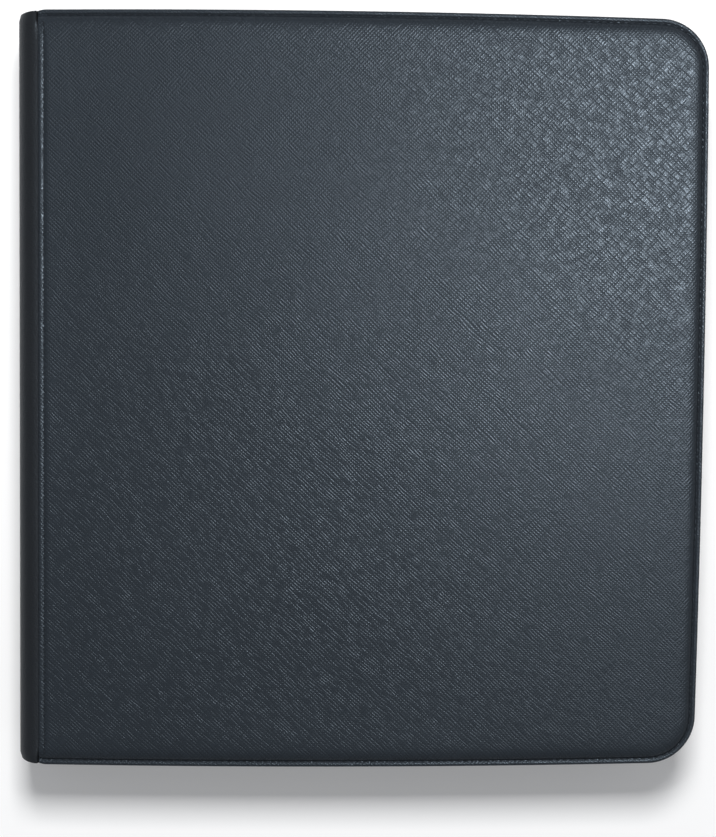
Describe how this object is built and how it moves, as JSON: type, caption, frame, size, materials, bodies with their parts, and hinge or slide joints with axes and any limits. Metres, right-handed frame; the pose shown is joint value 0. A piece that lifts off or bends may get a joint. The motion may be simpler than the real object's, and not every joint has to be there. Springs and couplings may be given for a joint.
{
  "type": "trading card binder",
  "caption": "Padded leatherette card binder with a zip round three sides; it opens flat and fans out welded side-loading pocket pages.",
  "frame": {"origin": "under the middle of the closed binder, on the outer face of the back cover", "axes": "+Z from the back cover to the front cover, +X from the spine to the fore-edge, +Y to the head of the pages"},
  "size_m": [0.3222, 0.3556, 0.0415],
  "materials": {
    "cover_leatherette": "cross-hatched grain, semi-gloss",
    "spine_leatherette": "fine grain, satin",
    "foam": "closed-cell foam",
    "board": "grey board",
    "lining": "plain woven",
    "zip_tape": "herringbone woven tape",
    "zip_coil": "nylon coil",
    "zip_metal": "black lacquered zinc",
    "page_binding": "woven strip",
    "page_sheet": "fine matte polypropylene",
    "page_film": "clear film"
  },
  "bodies": {
    "back_cover": {"back_panel_skin": "cover_leatherette", "back_spine_wing": "spine_leatherette", "back_foam_pad": "foam", "back_board": "board", "back_lining": "lining", "back_zip_tape": "zip_tape", "back_zip_coil": "zip_coil"},
    "spine": {"spine_skin": "spine_leatherette", "spine_board": "board", "page_binding": "page_binding", "zip_end_tabs": "spine_leatherette"},
    "front_cover": {"front_panel_skin": "cover_leatherette", "front_spine_wing": "spine_leatherette", "front_foam_pad": "foam", "front_board": "board", "front_lining": "lining", "front_zip_tape": "zip_tape", "front_zip_coil": "zip_coil"},
    "slider": {"zip_slider": "zip_metal"},
    "pull": {"zip_pull": "zip_metal"},
    "page_01": {"page_01_sheet": "page_sheet", "page_01_pockets": "page_film"},
    "page_02": {"page_02_sheet": "page_sheet", "page_02_pockets": "page_film"},
    "page_03": {"page_03_sheet": "page_sheet", "page_03_pockets": "page_film"},
    "page_04": {"page_04_sheet": "page_sheet", "page_04_pockets": "page_film"},
    "page_05": {"page_05_sheet": "page_sheet", "page_05_pockets": "page_film"},
    "page_06": {"page_06_sheet": "page_sheet", "page_06_pockets": "page_film"},
    "page_07": {"page_07_sheet": "page_sheet", "page_07_pockets": "page_film"},
    "page_08": {"page_08_sheet": "page_sheet", "page_08_pockets": "page_film"},
    "page_09": {"page_09_sheet": "page_sheet", "page_09_pockets": "page_film"},
    "page_10": {"page_10_sheet": "page_sheet", "page_10_pockets": "page_film"},
    "page_11": {"page_11_sheet": "page_sheet", "page_11_pockets": "page_film"},
    "page_12": {"page_12_sheet": "page_sheet", "page_12_pockets": "page_film"},
    "page_13": {"page_13_sheet": "page_sheet", "page_13_pockets": "page_film"},
    "page_14": {"page_14_sheet": "page_sheet", "page_14_pockets": "page_film"},
    "page_15": {"page_15_sheet": "page_sheet", "page_15_pockets": "page_film"},
    "page_16": {"page_16_sheet": "page_sheet", "page_16_pockets": "page_film"},
    "page_17": {"page_17_sheet": "page_sheet", "page_17_pockets": "page_film"},
    "page_18": {"page_18_sheet": "page_sheet", "page_18_pockets": "page_film"},
    "page_19": {"page_19_sheet": "page_sheet", "page_19_pockets": "page_film"},
    "page_20": {"page_20_sheet": "page_sheet", "page_20_pockets": "page_film"}
  },
  "joints": [
    {"name": "cover_open", "type": "hinge", "parent": "back_cover", "child": "spine", "pos_m": [-0.15861, 0, 0.00329], "axis": [0, -1, 0], "range_deg": [0, 90]},
    {"name": "front_crease", "type": "hinge", "parent": "spine", "child": "front_cover", "pos_m": [-0.15861, 0, 0.03826], "axis": [0, -1, 0], "range_deg": [0, 90]},
    {"name": "zip_slide", "type": "slide", "parent": "back_cover", "child": "slider", "axis": [1, 0, 0], "range_m": [0, 0.2702]},
    {"name": "pull_swing", "type": "hinge", "parent": "slider", "child": "pull", "pos_m": [-0.1408, -0.1737, 0.02077], "axis": [0, 0, -1], "range_deg": [0, 150]},
    {"name": "page_01_turn", "type": "hinge", "parent": "spine", "child": "page_01", "pos_m": [-0.1566, 0, 0.03455], "axis": [0, -1, 0], "range_deg": [0, 80.01]},
    {"name": "page_02_turn", "type": "hinge", "parent": "spine", "child": "page_02", "pos_m": [-0.1566, 0, 0.0331], "axis": [0, -1, 0], "range_deg": [0, 71.58]},
    {"name": "page_03_turn", "type": "hinge", "parent": "spine", "child": "page_03", "pos_m": [-0.1566, 0, 0.03165], "axis": [0, -1, 0], "range_deg": [0, 63.16]},
    {"name": "page_04_turn", "type": "hinge", "parent": "spine", "child": "page_04", "pos_m": [-0.1566, 0, 0.0302], "axis": [0, -1, 0], "range_deg": [0, 54.74]},
    {"name": "page_05_turn", "type": "hinge", "parent": "spine", "child": "page_05", "pos_m": [-0.1566, 0, 0.02875], "axis": [0, -1, 0], "range_deg": [0, 46.32]},
    {"name": "page_06_turn", "type": "hinge", "parent": "spine", "child": "page_06", "pos_m": [-0.1566, 0, 0.0273], "axis": [0, -1, 0], "range_deg": [0, 37.9]},
    {"name": "page_07_turn", "type": "hinge", "parent": "spine", "child": "page_07", "pos_m": [-0.1566, 0, 0.02585], "axis": [0, -1, 0], "range_deg": [0, 29.48]},
    {"name": "page_08_turn", "type": "hinge", "parent": "spine", "child": "page_08", "pos_m": [-0.1566, 0, 0.0244], "axis": [0, -1, 0], "range_deg": [0, 21.06]},
    {"name": "page_09_turn", "type": "hinge", "parent": "spine", "child": "page_09", "pos_m": [-0.1566, 0, 0.02295], "axis": [0, -1, 0], "range_deg": [0, 12.64]},
    {"name": "page_10_turn", "type": "hinge", "parent": "spine", "child": "page_10", "pos_m": [-0.1566, 0, 0.0215], "axis": [0, -1, 0], "range_deg": [0, 4.22]},
    {"name": "page_11_turn", "type": "hinge", "parent": "spine", "child": "page_11", "pos_m": [-0.1566, 0, 0.02005], "axis": [0, -1, 0], "range_deg": [-4.22, 0]},
    {"name": "page_12_turn", "type": "hinge", "parent": "spine", "child": "page_12", "pos_m": [-0.1566, 0, 0.0186], "axis": [0, -1, 0], "range_deg": [-12.64, 0]},
    {"name": "page_13_turn", "type": "hinge", "parent": "spine", "child": "page_13", "pos_m": [-0.1566, 0, 0.01715], "axis": [0, -1, 0], "range_deg": [-21.06, 0]},
    {"name": "page_14_turn", "type": "hinge", "parent": "spine", "child": "page_14", "pos_m": [-0.1566, 0, 0.0157], "axis": [0, -1, 0], "range_deg": [-29.48, 0]},
    {"name": "page_15_turn", "type": "hinge", "parent": "spine", "child": "page_15", "pos_m": [-0.1566, 0, 0.01425], "axis": [0, -1, 0], "range_deg": [-37.9, 0]},
    {"name": "page_16_turn", "type": "hinge", "parent": "spine", "child": "page_16", "pos_m": [-0.1566, 0, 0.0128], "axis": [0, -1, 0], "range_deg": [-46.32, 0]},
    {"name": "page_17_turn", "type": "hinge", "parent": "spine", "child": "page_17", "pos_m": [-0.1566, 0, 0.01135], "axis": [0, -1, 0], "range_deg": [-54.74, 0]},
    {"name": "page_18_turn", "type": "hinge", "parent": "spine", "child": "page_18", "pos_m": [-0.1566, 0, 0.0099], "axis": [0, -1, 0], "range_deg": [-63.16, 0]},
    {"name": "page_19_turn", "type": "hinge", "parent": "spine", "child": "page_19", "pos_m": [-0.1566, 0, 0.00845], "axis": [0, -1, 0], "range_deg": [-71.58, 0]},
    {"name": "page_20_turn", "type": "hinge", "parent": "spine", "child": "page_20", "pos_m": [-0.1566, 0, 0.007], "axis": [0, -1, 0], "range_deg": [-80.01, 0]}
  ],
  "couplings": [
    {"joint": "front_crease", "follows": "cover_open", "ratio": 1},
    {"joint": "page_01_turn", "follows": "cover_open", "ratio": 0.88889},
    {"joint": "page_02_turn", "follows": "cover_open", "ratio": 0.79532},
    {"joint": "page_03_turn", "follows": "cover_open", "ratio": 0.70175},
    {"joint": "page_04_turn", "follows": "cover_open", "ratio": 0.60819},
    {"joint": "page_05_turn", "follows": "cover_open", "ratio": 0.51462},
    {"joint": "page_06_turn", "follows": "cover_open", "ratio": 0.42105},
    {"joint": "page_07_turn", "follows": "cover_open", "ratio": 0.32749},
    {"joint": "page_08_turn", "follows": "cover_open", "ratio": 0.23392},
    {"joint": "page_09_turn", "follows": "cover_open", "ratio": 0.14035},
    {"joint": "page_10_turn", "follows": "cover_open", "ratio": 0.046784},
    {"joint": "page_11_turn", "follows": "cover_open", "ratio": -0.046784},
    {"joint": "page_12_turn", "follows": "cover_open", "ratio": -0.14035},
    {"joint": "page_13_turn", "follows": "cover_open", "ratio": -0.23392},
    {"joint": "page_14_turn", "follows": "cover_open", "ratio": -0.32749},
    {"joint": "page_15_turn", "follows": "cover_open", "ratio": -0.42105},
    {"joint": "page_16_turn", "follows": "cover_open", "ratio": -0.51462},
    {"joint": "page_17_turn", "follows": "cover_open", "ratio": -0.60819},
    {"joint": "page_18_turn", "follows": "cover_open", "ratio": -0.70175},
    {"joint": "page_19_turn", "follows": "cover_open", "ratio": -0.79532},
    {"joint": "page_20_turn", "follows": "cover_open", "ratio": -0.88889}
  ]
}
